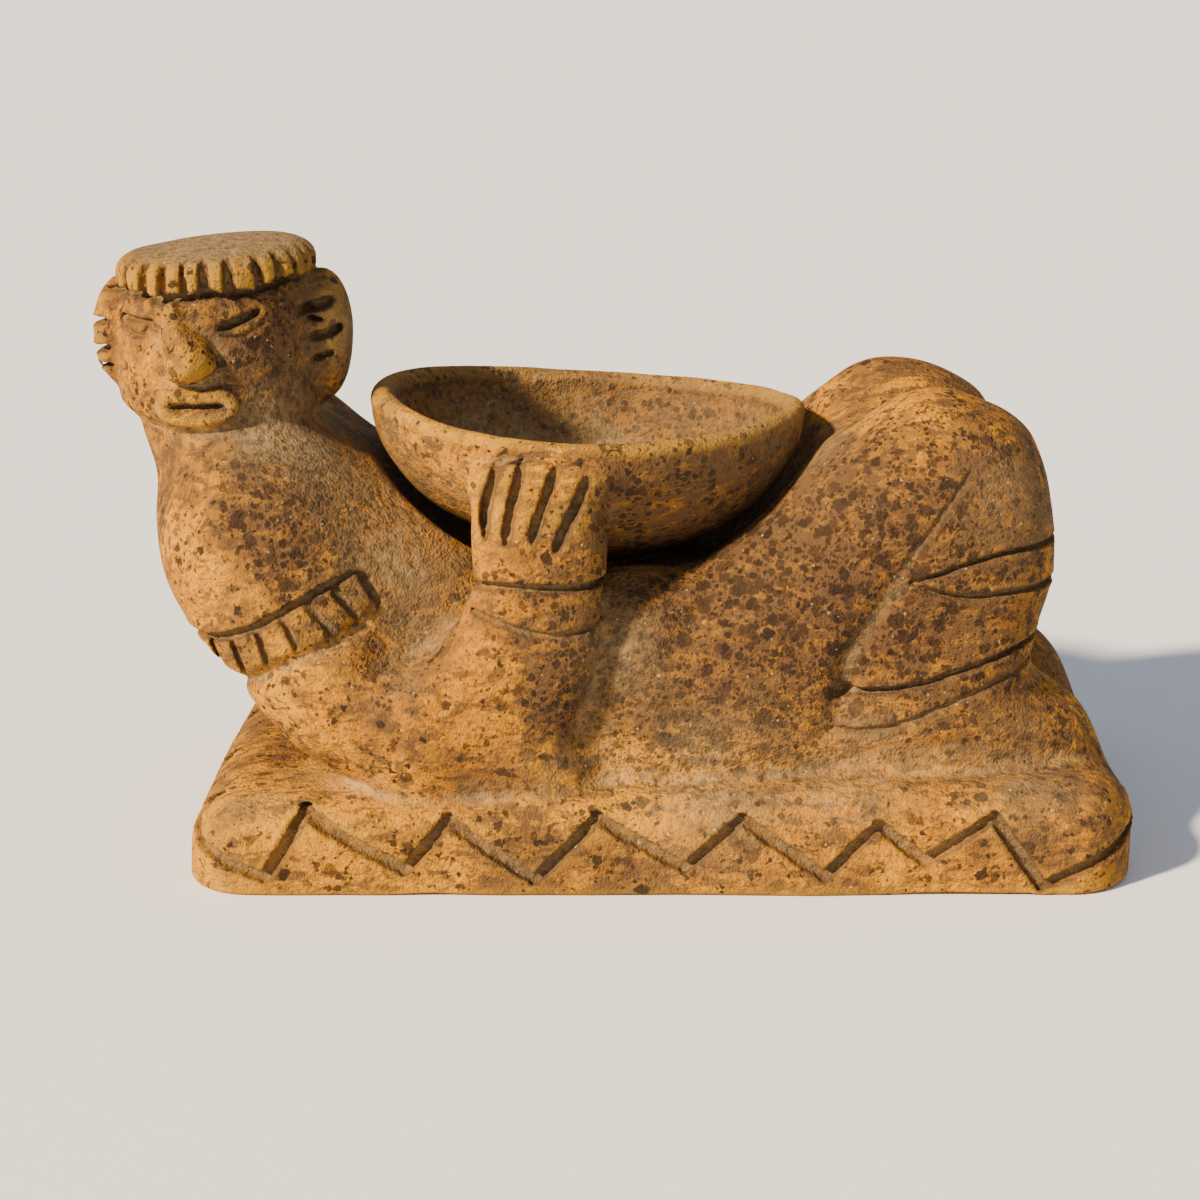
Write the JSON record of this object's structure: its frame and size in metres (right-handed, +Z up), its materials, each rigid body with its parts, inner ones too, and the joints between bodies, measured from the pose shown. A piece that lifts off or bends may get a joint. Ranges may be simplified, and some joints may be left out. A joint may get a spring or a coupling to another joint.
{
  "type": "chac mool",
  "caption": "Hand-modelled clay souvenir: a figure lying back on its elbows with knees drawn up holds an offering bowl, on a thick slab with a zigzag cut round it.",
  "frame": {"origin": "centre of the slab's flat underside", "axes": "+X along the slab from the head to the feet, -Y the side that the face looks to, +Z up"},
  "size_m": [0.194, 0.098, 0.114],
  "materials": {
    "fired_clay": "unglazed sandy ochre clay, rubbed with a brown wash, dark speckles and dust in the cuts"
  },
  "bodies": {
    "root": {"chac_mool": "fired_clay"}
  },
  "joints": []
}
